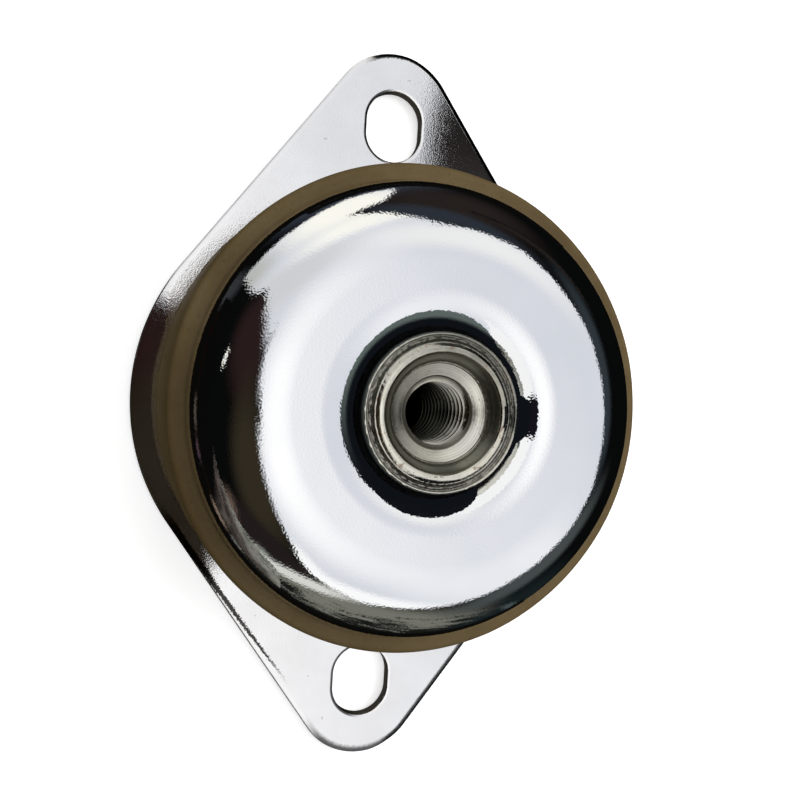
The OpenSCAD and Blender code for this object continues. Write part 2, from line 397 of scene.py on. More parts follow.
def make_plate():
    s = Solid()
    cols = 240
    hat = [
        line((HAT_FOOT_R, PLATE_T), (TOP_C[0] + 3.0 * math.cos(HAT_A), TOP_C[1] + 3.0 * math.sin(HAT_A)), 1),
        arc(TOP_C, 3.0, HAT_DEG, 90, 12),
        line((TOP_C[0], HAT_TOP), (HAT_HOLE + 0.4, HAT_TOP), 1),
        arc((HAT_HOLE + 0.4, HAT_TOP - 0.4), 0.4, 90, 180, 6),
        line((HAT_HOLE, HAT_TOP - 0.4), (HAT_HOLE, HAT_TOP - PLATE_T + 0.15), 1),
        line((HAT_HOLE, HAT_TOP - PLATE_T + 0.15), (HAT_HOLE + 0.15, HAT_TOP - PLATE_T), 1),
        line((HAT_HOLE + 0.15, HAT_TOP - PLATE_T), (hat_in(HAT_TOP - PLATE_T) - 0.5, HAT_TOP - PLATE_T), 1),
        line((hat_in(HAT_TOP - PLATE_T) - 0.5, HAT_TOP - PLATE_T), (hat_in(HAT_TOP - PLATE_T - 0.5), HAT_TOP - PLATE_T - 0.5), 1),
        line((hat_in(HAT_TOP - PLATE_T - 0.5), HAT_TOP - PLATE_T - 0.5),
             (FOOT_C[0] - 3.0 * math.cos(HAT_A), FOOT_C[1] - 3.0 * math.sin(HAT_A)), 1),
        arc(FOOT_C, 3.0, 180 + HAT_DEG, 270, 14),
    ]
    lathe(s, hat, cols)

    def ring(r, z):
        return [(r * math.cos(2 * math.pi * i / cols), r * math.sin(2 * math.pi * i / cols), z) for i in range(cols)]

    # the sheared edges
    tops, bottoms = [], []
    for loop, kind in ((plate_loop(), "edge"), (slot_loop(1), "slot"), (slot_loop(-1), "slot")):
        sections = []
        for p, n in loop:
            rows = [(i, PLATE_T - z, math.radians(a)) for i, z, a in edge_rows(*edge_at(p, kind))]
            zr = rows[-1][1]
            rows += [(0.0, zr, math.radians(90)), (0.0, zr - 0.50, math.radians(90)),
                     (0.0, zr - 0.50, math.radians(94)), (0.07, 0.16, math.radians(94)),
                     (0.07, 0.16, math.radians(130)), (0.20, 0.0, math.radians(150))]
            sections.append([((p[0] - n[0] * i, p[1] - n[1] * i, z),
                              (n[0] * math.sin(a), n[1] * math.sin(a), math.cos(a))) for i, z, a in rows])
        m = len(sections)
        for k in range(m):
            one, two = sections[k], sections[(k + 1) % m]
            for j in range(len(one) - 1):
                if math.dist(one[j][0], one[j + 1][0]) < 1e-6:
                    continue
                # travel along the loop keeps the metal on the left
                s.face([one[j + 1][0], two[j + 1][0], two[j][0], one[j][0]],
                       [one[j + 1][1], two[j + 1][1], two[j][1], one[j][1]])
        tops.append([sec[0][0] for sec in sections])
        bottoms.append([sec[-1][0] for sec in sections])
    for polys, up in ((tops + [ring(HAT_FOOT_R, PLATE_T)], 1), (bottoms + [ring(FOOT_C[0], 0.0)], -1)):
        flat = [p for poly in polys for p in poly]
        for tri in tessellate_polygon([[Vector(p) for p in poly] for poly in polys]):
            a, b, c = (flat[i] for i in tri)
            area = (b[0] - a[0]) * (c[1] - a[1]) - (b[1] - a[1]) * (c[0] - a[0])
            if area * up < 0:
                a, c = c, a
            s.face([a, b, c], [(0, 0, up)] * 3)
    return s.make("pressed_base_plate")


# ---------------------------------------------------------------- insert with its thread

def make_insert():
    s = Solid()
    cols = 288
    pitch, r_min, r_maj = 1.75, 5.1, 6.0
    z_top, z_bot = THREAD_TOP, FOOT_Z
    mouth_r, foot_r = 6.15, 6.1

    lip_a, lip_b, lip_c = waves(16, 3, 40, 11), waves(22, 20, 120, 12), waves(10, 2, 14, 13)
    burr = waves(18, 8, 90, 14)

    seat = SEAT_Z
    L, T = LIP_R, LIP_TOP
    # (radius, height, strength of the rough swaged surface there)
    prof = [(foot_r, z_bot, 0), (10.2, z_bot, 0), (10.5, z_bot + 0.12, 0), (10.72, z_bot + 0.35, 0), (10.8, z_bot + 0.6, 0),
            (10.8, z_bot + 1.0, 0), (8.0, z_bot + 1.0, 0), (8.0, z_bot + 4.0, 0), (9.0, z_bot + 4.0, 0),
            (9.0, seat - BELL_T - 3.0, 0), (11.9, seat - BELL_T - 3.0, 0), (12.4, seat - BELL_T - 2.5, 0),
            (12.4, seat - BELL_T, 0), (BELL_HOLE, seat - BELL_T, 0), (BELL_HOLE, seat, 0), (12.3, seat, 0), (12.75, seat + 0.12, 0),
            (13.0, seat + 0.35, 0.1), (L, seat + 0.8, 0.15), (L, seat + 1.7, 0.15), (L, T - 1.25, 0.2), (L - 0.03, T - 1.08, 0.3),
            (L - 0.11, T - 0.95, 0.35), (L - 0.23, T - 0.90, 0.35), (L - 0.36, T - 0.96, 0.5), (L - 0.48, T - 1.12, 0.9),
            (L - 0.60, T - 1.26, 1.0), (L - 0.74, T - 1.30, 1.0), (L - 0.88, T - 1.22, 1.0), (L - 1.0, T - 1.16, 1.0),
            (L - 1.12, T - 1.20, 1.0), (L - 1.24, T - 1.14, 1.0), (L - 1.36, T - 0.98, 1.0), (L - 1.48, T - 0.80, 1.0),
            (L - 1.60, T - 0.68, 0.9), (L - 1.72, T - 0.56, 0.7), (L - 1.85, T - 0.44, 0.45), (L - 2.0, T - 0.34, 0.3),
            (L - 2.18, T - 0.22, 0.2), (L - 2.38, T - 0.11, 0.12), (L - 2.6, T - 0.04, 0.08), (L - 2.8, T - 0.02, 0.08),
            (L - 2.98, T - 0.03, 0.1), (L - 3.12, T - 0.09, 0.15), (L - 3.24, T - 0.20, 0.2), (L - 3.34, T - 0.36, 0.2),
            (L - 3.5, T - 0.62, 0.15), (L - 3.8, T - 0.95, 0.1), (L - 4.2, T - 1.28, 0.1), (8.62, T - 1.58, 0.1),
            (8.46, T - 1.80, 0.2), (8.36, T - 2.00, 0.25), (8.20, T - 2.08, 0.2), (8.08, T - 2.20, 0.2), (8.02, T - 2.40, 0.1),
            (7.9, z_top + 0.93, 0.05), (7.3, z_top + 0.66, 0), (6.8, z_top + 0.44, 0), (6.45, z_top + 0.27, 0.05), (mouth_r, z_top + 0.10, 0.15)]
    top_z = z_top + 0.10

    # helical thread: rows follow the helix, so its crests and roots lie on rows
    q = pitch / 8
    turn = [(0.0, r_min), (1.9 * q, r_min), (2.15 * q, r_min + 0.10), (4.35 * q, r_maj - 0.06), (4.6 * q, r_maj),
            (5.4 * q, r_maj), (5.65 * q, r_maj - 0.06), (7.85 * q, r_min + 0.10)]
    per = len(turn)
    turns = int((top_z - z_bot) / pitch) + 4
    rows = [(top_z + 2 * pitch - (j // per) * pitch - turn[j % per][0], turn[j % per][1]) for j in range(turns * per)]

    def cone(z):
        """Radius of the mouth's and the foot's countersinks at that height; the thread is nowhere narrower."""
        r = r_min
        r = max(r, mouth_r - (top_z - z) * 0.95)
        return max(r, foot_r - (z - z_bot) * 1.0)

    def thread_point(i, j):
        z, r = rows[j]
        z = z - pitch * i / cols           # right-hand: the groove falls as it turns clockwise, seen from above
        t = -2 * math.pi * i / cols
        if z >= top_z - 0.02:
            z, r = top_z, mouth_r
        elif z <= z_bot + 0.02:
            z, r = z_bot, foot_r
        else:
            r = max(r, cone(z))
        return (r * math.cos(t), r * math.sin(t), z)

    def rough(t, r, z, k):
        if k:
            g = 0.5 * lip_a(t) + 0.5 * lip_b(t + r * 1.7)
            h = lip_b(t * 1 + 2.3 - r * 2.9) * 0.6 + lip_c(t) * 0.5
            r = min(L, r + 0.05 * k * g)
            z = min(T, z + 0.07 * k * h + (0.03 * burr(t) if k in (0.25, 0.3) else 0))
        return (r * math.cos(t), r * math.sin(t), z)

    n = len(rows)
    made = [[thread_point(i, j) for j in range(n)] for i in range(cols + 1)]
    for i in range(cols):
        for j in range(n - 1):
            # at the seam the last column is the first one a whole pitch further down
            a, b, c, d = made[i][j], made[i + 1][j], made[i + 1][j + 1], made[i][j + 1]
            s.face([a, b, c, d])
    ring = []
    for i in range(cols):
        t = -2 * math.pi * i / cols
        ring.append([rough(t, r, z, k) for r, z, k in prof])
    # the mouth's ring is shared with the thread, so it isn't roughened
    for i in range(cols):
        t = -2 * math.pi * i / cols
        ring[i][-1] = (mouth_r * math.cos(t), mouth_r * math.sin(t), top_z)
    for i in range(cols):
        a, b = ring[i], ring[(i + 1) % cols]
        for j in range(len(prof) - 1):
            s.face([b[j], a[j], a[j + 1], b[j + 1]])
    return s.make("turned_insert", custom=False, sharp_deg=40)


# ---------------------------------------------------------------- washer

def make_washer():
    s = Solid()
    z0, z1, ri, ro = FOOT_Z + 1.0, FOOT_Z + 4.0, 8.0, 17.0
    segs = [
        line((ri + 0.15, z0), (ro - 0.15, z0), 1),
        line((ro - 0.15, z0), (ro, z0 + 0.15), 1),
        line((ro, z0 + 0.15), (ro, z1 - 0.7), 1),
        arc((ro - 0.7, z1 - 0.7), 0.7, 0, 90, 10),
        line((ro - 0.7, z1), (ri + 0.4, z1), 1),
        arc((ri + 0.4, z1 - 0.4), 0.4, 90, 180, 6),
        line((ri, z1 - 0.4), (ri, z0 + 0.15), 1),
        line((ri, z0 + 0.15), (ri + 0.15, z0), 1),
    ]
    lathe(s, segs, 160)
    return s.make("captive_washer")


# ---------------------------------------------------------------- node helpers

def lin(r, g, b):
    def f(c):
        c /= 255
        return c / 12.92 if c <= 0.04045 else ((c + 0.055) / 1.055) ** 2.4
    return (f(r), f(g), f(b), 1.0)


class Net:
    """Short calls for making nodes. A value is a number, a tuple or another node's output."""

    def __init__(self, tree):
        self.t = tree
        tree.nodes.clear()

    def new(self, kind, **props):
        n = self.t.nodes.new(kind)
        for k, v in props.items():
            setattr(n, k, v)
        return n

    def put(self, sock, v):
        if v is None:
            return
        if isinstance(v, bpy.types.NodeSocket):
            self.t.links.new(v, sock)
        else:
            sock.default_value = v

    def m(self, op, a, b=None, c=None, clamp=False):
        n = self.new("ShaderNodeMath", operation=op, use_clamp=clamp)
        for s, v in zip(n.inputs, (a, b, c)):
            self.put(s, v)
        return n.outputs[0]

    def v(self, op, a, b=None, scale=None):
        n = self.new("ShaderNodeVectorMath", operation=op)
        self.put(n.inputs[0], a)
        if b is not None:
            self.put(n.inputs[1], b)
        if scale is not None:
            self.put(n.inputs["Scale"], scale)
        return n.outputs["Value"] if op in ("DOT_PRODUCT", "LENGTH", "DISTANCE") else n.outputs["Vector"]

    def step(self, x, lo, hi, a=0.0, b=1.0):
        n = self.new("ShaderNodeMapRange", interpolation_type="SMOOTHSTEP")
        for s, v in zip(n.inputs, (x, lo, hi, a, b)):
            self.put(s, v)
        return n.outputs[0]

    def ramp(self, x, lo, hi, a=0.0, b=1.0):
        n = self.new("ShaderNodeMapRange")
        n.clamp = True
        for s, v in zip(n.inputs, (x, lo, hi, a, b)):
            self.put(s, v)
        return n.outputs[0]

    def mix(self, f, a, b, blend="MIX"):
        n = self.new("ShaderNodeMix", data_type="RGBA", blend_type=blend)
        self.put(n.inputs[0], f)
        self.put(n.inputs[6], a)
        self.put(n.inputs[7], b)
        return n.outputs[2]

    def noise(self, vec, scale, detail=3.0, rough=0.5, dist=0.0, dims="3D", w=None):
        n = self.new("ShaderNodeTexNoise", noise_dimensions=dims)
        if dims != "1D":
            self.put(n.inputs["Vector"], vec)
        if w is not None:
            self.put(n.inputs["W"], w)
        self.put(n.inputs["Scale"], scale)
        self.put(n.inputs["Detail"], detail)
        self.put(n.inputs["Roughness"], rough)
        self.put(n.inputs["Distortion"], dist)
        return n.outputs["Fac"]

    def bump(self, height, strength, distance, normal=None):
        n = self.new("ShaderNodeBump")
        self.put(n.inputs["Strength"], strength)
        self.put(n.inputs["Distance"], distance)
        self.put(n.inputs["Height"], height)
        if normal is not None:
            self.put(n.inputs["Normal"], normal)
        return n.outputs[0]

    def where(self):
        """The point on the object, its radius from the axis and its height."""
        o = self.new("ShaderNodeTexCoord").outputs["Object"]
        sep = self.new("ShaderNodeSeparateXYZ")
        self.put(sep.inputs[0], o)
        x, y, z = sep.outputs
        r = self.m("SQRT", self.m("ADD", self.m("MULTIPLY", x, x), self.m("MULTIPLY", y, y)))
        return o, x, y, z, r


def shader(name):
    mat = bpy.data.materials.new(name)
    mat.use_nodes = True
    net = Net(mat.node_tree)
    out = net.new("ShaderNodeOutputMaterial")
    p = net.new("ShaderNodeBsdfPrincipled")
    net.t.links.new(p.outputs[0], out.inputs["Surface"])
    return mat, net, p


# ---------------------------------------------------------------- materials

def chrome_bell():
    mat, n, p = shader("mirror_chrome")
    o, x, y, z, r = n.where()
    cloud = n.noise(o, 55.0, 2.0, 0.55)
    fine = n.noise(o, 900.0, 1.0, 0.5)
    peel = n.m("MULTIPLY", n.noise(o, 2900.0, 0.0, 0.5), n.step(r, 0.0215, 0.0190, 1.0, 1.7))
    wave = n.noise(o, 120.0, 1.0, 0.5)
    n.put(p.inputs["Base Color"], n.mix(n.ramp(cloud, 0.35, 0.65), (0.90, 0.905, 0.91, 1), (0.95, 0.95, 0.955, 1)))
    n.put(p.inputs["Metallic"], 1.0)
    n.put(p.inputs["Roughness"], n.ramp(fine, 0.3, 0.75, 0.025, 0.055))
    h = n.m("ADD", n.m("MULTIPLY", peel, 0.000010), n.m("MULTIPLY", wave, 0.000012))
    n.put(p.inputs["Normal"], n.bump(h, 1.0, 1.0))
    return mat


def plated_plate():
    mat, n, p = shader("bright_plating")
    o, x, y, z, r = n.where()
    cloud = n.noise(o, 90.0, 3.0, 0.6)
    grain = n.noise(o, 3900.0, 1.0, 0.6)
    pits = n.noise(o, 900.0, 1.0, 0.5)
    base = n.mix(n.ramp(cloud, 0.35, 0.7), (0.90, 0.885, 0.875, 1), (0.97, 0.96, 0.95, 1))
    base = n.mix(n.step(pits, 0.76, 0.80, 0.0, 0.35), base, (0.30, 0.28, 0.25, 1))
    # painted dark reflection: a dark, ragged line in the plating's colour inside the long edge towards -X -Y, where the
    # blank was drawn down
    t = math.radians(216.26)
    deep = n.m("SUBTRACT", 0.04580, n.v("DOT_PRODUCT", o, (math.cos(t), math.sin(t), 0)))
    along = n.ramp(y, -0.024, -0.053)
    off = n.m("ABSOLUTE", n.m("SUBTRACT", deep, n.ramp(n.m("MULTIPLY", along, along), 0.0, 1.0, 0.00064, 0.00165)))
    off = n.m("SUBTRACT", off, n.ramp(along, 0.0, 1.0, 0.00078, 0.00018))
    off = n.m("ADD", off, n.ramp(n.noise(o, 3300.0, 1.0, 0.5), 0.3, 0.7, -0.00022, 0.00022))
    drawn = n.m("MULTIPLY", n.step(off, 0.00010, -0.00014), n.step(y, -0.0555, -0.0490))
    drawn = n.m("MULTIPLY", drawn, n.m("MULTIPLY", n.step(y, -0.018, -0.026), n.step(z, 0.0008, 0.0012)))
    base = n.mix(n.m("MULTIPLY", drawn, 0.96), base, (0.018, 0.014, 0.011, 1))
    # the ears' rims and the slots' -X sides are rolled over, with a painted dark reflection in the plating's colour:
    # how far in from the rim
    ax, ay = n.m("ABSOLUTE", x), n.m("ABSOLUTE", y)
    side = n.m("SUBTRACT", n.m("SUBTRACT", 0.04580, n.m("MULTIPLY", ax, 0.8063)), n.m("MULTIPLY", ay, 0.5915))
    end_y = n.m("SUBTRACT", ay, 0.0565)
    end = n.m("SUBTRACT", 0.01238, n.m("SQRT", n.m("ADD", n.m("MULTIPLY", ax, ax), n.m("MULTIPLY", end_y, end_y))))
    past = n.ramp(ay, 0.0635, 0.0641)
    rim = n.m("ADD", n.m("MULTIPLY", end, past), n.m("MULTIPLY", side, n.m("SUBTRACT", 1.0, past)))
    rim = n.m("ADD", rim, n.ramp(n.noise(o, 3000.0, 1.0, 0.5), 0.3, 0.7, -0.00010, 0.00010))
    far = n.m("MULTIPLY", n.m("MULTIPLY", n.step(rim, 0.00118, 0.00082), n.step(x, -0.0070, -0.0035)), n.step(y, 0.034, 0.044))
    near = n.m("MULTIPLY", n.m("MULTIPLY", n.step(rim, 0.00165, 0.00055), n.step(x, -0.0112, -0.0070)), n.step(y, -0.030, -0.040))
    sy = n.m("MAXIMUM", n.m("SUBTRACT", n.m("ABSOLUTE", n.m("SUBTRACT", ay, 0.0545)), 0.0013), 0.0)
    slot = n.m("SUBTRACT", n.m("SQRT", n.m("ADD", n.m("MULTIPLY", ax, ax), n.m("MULTIPLY", sy, sy))), 0.0055)
    slot = n.m("MULTIPLY", n.step(slot, 0.00064, 0.00044), n.step(x, 0.0005, -0.0025))
    dark = n.m("MAXIMUM", n.m("MAXIMUM", n.m("MULTIPLY", far, 0.92), n.m("MULTIPLY", near, 0.88)), n.m("MULTIPLY", slot, 0.90))
    base = n.mix(dark, base, (0.020, 0.018, 0.016, 1))
    n.put(p.inputs["Base Color"], base)
    n.put(p.inputs["Metallic"], 1.0)
    n.put(p.inputs["Roughness"], n.m("ADD", n.ramp(grain, 0.3, 0.8, 0.07, 0.15), n.ramp(cloud, 0.4, 0.8, 0.0, 0.04)))
    # a satin grain under the plating, coarser on the ears, and slow waves from the pressing
    h = n.m("ADD", n.m("MULTIPLY", grain, 0.000022), n.m("MULTIPLY", cloud, 0.00003))
    n.put(p.inputs["Normal"], n.bump(h, 1.0, 1.0))
    return mat


def tan_rubber():
    mat, n, p = shader("tan_rubber")
    o, x, y, z, r = n.where()
    big = n.noise(o, 60.0, 4.0, 0.6)
    fine = n.noise(o, 1400.0, 3.0, 0.6)
    streak = n.noise(n.v("MULTIPLY", o, (1.0, 1.0, 0.25)), 260.0, 3.0, 0.6)
    col = n.mix(n.ramp(big, 0.35, 0.65), (0.104, 0.071, 0.029, 1), (0.134, 0.096, 0.043, 1))
    col = n.mix(n.ramp(streak, 0.45, 0.75, 0.0, 0.35), col, (0.150, 0.114, 0.058, 1))
    col = n.mix(n.step(fine, 0.62, 0.72, 0.0, 0.45), col, (0.050, 0.035, 0.015, 1))
    # painted shade on the shoulder's -X side, towards -Y, where the bell keeps the light off
    painted_left_shade = n.m("MULTIPLY", n.step(z, 0.0262, 0.0274), n.m("MULTIPLY", n.step(x, -0.018, -0.036), n.step(y, 0.016, -0.006)))
    col = n.mix(n.m("MULTIPLY", painted_left_shade, 0.60), col, (0.062, 0.040, 0.013, 1))
    # painted contact shade low down on the wall, where it meets the plate
    col = n.mix(n.ramp(z, 0.0035, 0.0025, 0.0, 0.6), col, (0.05, 0.035, 0.018, 1))
    n.put(p.inputs["Base Color"], col)
    n.put(p.inputs["Roughness"], n.m("ADD", n.ramp(fine, 0.3, 0.7, 0.54, 0.66), n.ramp(big, 0.3, 0.7, -0.05, 0.05)))
    n.put(p.inputs["Specular IOR Level"], 0.10)
    h = n.m("ADD", n.m("MULTIPLY", fine, 0.00004), n.m("MULTIPLY", streak, 0.00006))
    n.put(p.inputs["Normal"], n.bump(h, 1.0, 1.0))
    return mat


def turned_steel():
    mat, n, p = shader("turned_steel")
    o, x, y, z, r = n.where()
    ring = n.noise(None, 6000.0, 1.0, 0.5, dims="1D", w=n.m("ADD", r, n.m("MULTIPLY", n.noise(o, 160.0, 1.0, 0.5), 0.0004)))
    marks_1 = n.noise(n.v("MULTIPLY", o, (0.15, 0.15, 0.15)), 900.0, 1.0, 0.5)
    turned = n.noise(None, 3300.0, 2.0, 0.6, dims="1D", w=n.m("ADD", r, n.m("MULTIPLY", marks_1, 0.0006)))
    fine = n.noise(o, 1500.0, 3.0, 0.6)
    blot = n.noise(o, 420.0, 4.0, 0.6)
    pit = n.noise(o, 1900.0, 2.0, 0.5)
    base = n.mix(n.ramp(blot, 0.35, 0.7), (0.66, 0.63, 0.53, 1), (0.82, 0.79, 0.68, 1))
    # bruised ring between the lip's outer edge and its polished crest
    up = n.step(z, 0.0395, 0.0400)
    groove = n.m("MULTIPLY", n.m("MULTIPLY", n.step(r, 0.01128, 0.01155), n.step(r, 0.01290, 0.01268)), up)
    stain = n.mix(n.ramp(n.noise(o, 800.0, 3.0, 0.6), 0.4, 0.62), (0.045, 0.042, 0.036, 1), (0.24, 0.225, 0.195, 1))
    base = n.mix(n.m("MULTIPLY", groove, 0.80), base, stain)
    # the crest's colour is darker towards +Y and +X
    dull = n.m("MULTIPLY", up, n.ramp(n.m("ADD", n.m("DIVIDE", n.m("ADD", n.m("MULTIPLY", x, 0.57), n.m("MULTIPLY", y, 0.82)), r), n.ramp(blot, 0.3, 0.7, -0.3, 0.3)), 0.0, 1.0, 0.0, 0.72))
    base = n.mix(dull, base, (0.16, 0.155, 0.13, 1))
    # scattered pits and brown marks on the crest
    crest = n.m("MULTIPLY", n.m("MULTIPLY", n.step(r, 0.0098, 0.0102), n.step(r, 0.0116, 0.0112)), up)
    marks = n.m("MULTIPLY", crest, n.step(n.noise(o, 650.0, 4.0, 0.65), 0.57, 0.64))
    base = n.mix(n.m("MULTIPLY", marks, 0.7), base, (0.27, 0.17, 0.13, 1))
    # inside wall of the lip, dull and olive
    wall = n.m("MULTIPLY", n.step(r, 0.0100, 0.0097), n.step(r, 0.0080, 0.0083))
    base = n.mix(n.m("MULTIPLY", wall, 0.88), base, (0.13, 0.128, 0.098, 1))
    # turned face round the bore, with a painted highlight towards +X and mottled painted shade towards -X
    face = n.m("MULTIPLY", n.step(r, 0.0082, 0.0080), n.step(r, 0.0060, 0.0062))
    side = n.m("DIVIDE", n.m("ADD", n.m("MULTIPLY", x, -0.90), n.m("MULTIPLY", y, 0.25)), r)
    painted_face_shade = n.m("MULTIPLY", face, n.ramp(n.m("ADD", side, n.ramp(blot, 0.3, 0.7, -0.25, 0.25)), -0.55, 0.85, 0.10, 0.75))
    # painted highlight on the face's +X side
    base = n.mix(n.m("MULTIPLY", face, n.ramp(side, -0.25, -0.75)), base, (0.95, 0.92, 0.80, 1))
    base = n.mix(painted_face_shade, base, (0.085, 0.083, 0.068, 1))
    base = n.mix(n.m("MULTIPLY", face, n.ramp(turned, 0.42, 0.60, 0.20, 0.0)), base, (0.05, 0.048, 0.04, 1))
    # painted shade in the bore: darker deeper down and in the thread's roots
    bore = n.step(r, 0.00612, 0.00602)
    deep = n.ramp(z, 0.0382, 0.0280, 0.22, 0.97)
    root = n.ramp(r, 0.00515, 0.00580, 0.0, 0.45)
    base = n.mix(n.m("MULTIPLY", bore, n.m("ADD", deep, root, clamp=True)), base, (0.030, 0.030, 0.022, 1))
    # flank under the lip: painted shade, black and not metal low down in the crevice at the seat and dark above it,
    # with the upper flank left bare metal towards +X
    right = n.m("DIVIDE", n.m("ADD", n.m("MULTIPLY", x, 0.9981), n.m("MULTIPLY", y, -0.0610)), r)
    right = n.m("ADD", right, n.ramp(n.noise(o, 900.0, 2.0, 0.6), 0.3, 0.7, -0.04, 0.04))
    unshaded_sector = n.m("SUBTRACT", n.step(right, 0.55, 0.61), n.step(right, 0.960, 0.982))
    flank = n.m("MAXIMUM", n.m("MULTIPLY", n.step(r, 0.01240, 0.01265), n.step(z, 0.0404, 0.0401)), n.step(r, 0.01303, 0.01308))
    unshaded_sector = n.m("MULTIPLY", unshaded_sector, n.step(z, 0.0388, 0.0394))
    flank = n.m("MULTIPLY", flank, n.m("SUBTRACT", 1.0, unshaded_sector, clamp=True))
    painted_flank_shade = n.mix(n.step(z, 0.0386, 0.0399), (0.004, 0.004, 0.004, 1), (0.070, 0.082, 0.078, 1))
    base = n.mix(flank, base, painted_flank_shade)
    n.put(p.inputs["Base Color"], base)
    n.put(p.inputs["Metallic"], n.m("SUBTRACT", 1.0, flank))
    n.put(p.inputs["Specular IOR Level"], 0.12)
    rough = n.ramp(fine, 0.3, 0.75, 0.09, 0.18)
    rough = n.m("ADD", rough, n.m("MULTIPLY", groove, 0.15))
    rough = n.m("ADD", rough, n.m("MULTIPLY", flank, 0.35))
    rough = n.m("ADD", rough, n.m("ADD", n.m("MULTIPLY", wall, 0.22), n.m("MULTIPLY", face, 0.10)))
    rough = n.m("ADD", rough, n.m("MULTIPLY", n.m("MULTIPLY", n.step(r, 0.00625, 0.00610), n.step(z, 0.0368, 0.0374)), 0.30))
    n.put(p.inputs["Roughness"], rough)
    h = n.m("ADD", n.m("MULTIPLY", ring, 0.000007), n.m("MULTIPLY", fine, 0.000012))
    h = n.m("ADD", h, n.m("MULTIPLY", n.m("MULTIPLY", blot, groove), 0.00025))
    h = n.m("SUBTRACT", h, n.m("MULTIPLY", n.step(pit, 0.66, 0.74), 0.00003))
    n.put(p.inputs["Normal"], n.bump(h, 1.0, 1.0))
    return mat


def zinc_washer():
    mat, n, p = shader("dull_zinc")
    o, x, y, z, r = n.where()
    blot = n.noise(o, 240.0, 4.0, 0.6)
    spangle = n.new("ShaderNodeTexVoronoi")
    n.put(spangle.inputs["Vector"], o)
    n.put(spangle.inputs["Scale"], 700.0)
    fine = n.noise(o, 2200.0, 2.0, 0.5)
    base = n.mix(n.ramp(blot, 0.35, 0.7), (0.47, 0.47, 0.46, 1), (0.62, 0.62, 0.60, 1))
    base = n.mix(n.ramp(spangle.outputs["Distance"], 0.1, 0.7, 0.0, 0.25), base, (0.70, 0.69, 0.64, 1))
    n.put(p.inputs["Base Color"], base)
    n.put(p.inputs["Metallic"], 1.0)
    n.put(p.inputs["Roughness"], n.ramp(blot, 0.3, 0.7, 0.34, 0.5))
    n.put(p.inputs["Normal"], n.bump(n.m("MULTIPLY", fine, 0.00003), 1.0, 1.0))
    return mat


# ---------------------------------------------------------------- the pieces

CHROME, PLATE, RUBBER, STEEL, ZINC = chrome_bell(), plated_plate(), tan_rubber(), turned_steel(), zinc_washer()

plate = make_plate()
plate.data.materials.append(PLATE)
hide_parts("base_plate")
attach(plate, "base")

wall = make_rubber_wall()
wall.data.materials.append(RUBBER)
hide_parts("rubber_body")
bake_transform(wall)

core = make_rubber_core()
core.data.materials.append(RUBBER)
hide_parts("rubber_body")
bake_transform(core)

bell = make_bell()
bell.data.materials.append(CHROME)
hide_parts("dome_cap")
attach(bell, "bell")

insert = make_insert()
insert.data.materials.append(STEEL)
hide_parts("threaded_insert")
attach(insert, "bell")

washer = make_washer()
washer.data.materials.append(ZINC)
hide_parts("rebound_washer")
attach(washer, "bell")


# ---------------------------------------------------------------- floor and backdrop

def make_floor():
    me = bpy.data.meshes.new("floor")
    a, z = 3.0, -0.0002
    me.from_pydata([(-a, -a, z), (a, -a, z), (a, a, z), (-a, a, z)], [], [(0, 1, 2, 3)])
    ob = bpy.data.objects.new("floor", me)
    bpy.context.scene.collection.objects.link(ob)
    mat, n, p = shader("pale_floor")
    n.put(p.inputs["Base Color"], (0.80, 0.80, 0.80, 1))
    n.put(p.inputs["Roughness"], 0.9)
    n.put(p.inputs["Specular IOR Level"], 0.0)
    # a back-lit table, so that the shadow under the mount stays pale
    n.put(p.inputs["Emission Color"], (1.0, 1.0, 1.0, 1))
    n.put(p.inputs["Emission Strength"], 0.60)
    me.materials.append(mat)
    ob.visible_glossy = False
    ob.visible_diffuse = False
    return ob


def make_backdrop():
    """A pale shell far out, which only the camera sees."""
    me = bpy.data.meshes.new("backdrop")
    n_a, n_e, rad, v, f = 48, 24, 3.0, [], []
    for j in range(n_e + 1):
        e = -math.pi / 2 + math.pi * j / n_e
        for i in range(n_a):
            a = 2 * math.pi * i / n_a
            v.append((rad * math.cos(e) * math.cos(a), rad * math.cos(e) * math.sin(a), rad * math.sin(e)))
    for j in range(n_e):
        for i in range(n_a):
            k = (i + 1) % n_a
            f.append((j * n_a + i, (j + 1) * n_a + i, (j + 1) * n_a + k, j * n_a + k))
    me.from_pydata(v, [], f)
    ob = bpy.data.objects.new("backdrop", me)
    bpy.context.scene.collection.objects.link(ob)
    mat = bpy.data.materials.new("pale_backdrop")
    mat.use_nodes = True
    n = Net(mat.node_tree)
    out = n.new("ShaderNodeOutputMaterial")
    em = n.new("ShaderNodeEmission")
    n.put(em.inputs["Color"], (0.90, 0.90, 0.90, 1))
    n.put(em.inputs["Strength"], 1.0)
    n.t.links.new(em.outputs[0], out.inputs["Surface"])
    me.materials.append(mat)
    for flag in ("visible_diffuse", "visible_glossy", "visible_transmission", "visible_volume_scatter", "visible_shadow"):
        setattr(ob, flag, False)
    return ob


def stage_mesh(name, verts, faces, mat, glossy_only=True):
    """A stage object in millimetres. Most of them are only there for mirrored light."""
    me = bpy.data.meshes.new(name)
    me.from_pydata([(x * MM, y * MM, z * MM) for x, y, z in verts], [], faces)
    ob = bpy.data.objects.new(name, me)
    bpy.context.scene.collection.objects.link(ob)
    me.materials.append(mat)
    if glossy_only:
        for flag in ("visible_camera", "visible_diffuse", "visible_transmission", "visible_volume_scatter", "visible_shadow"):
            setattr(ob, flag, False)
    return ob


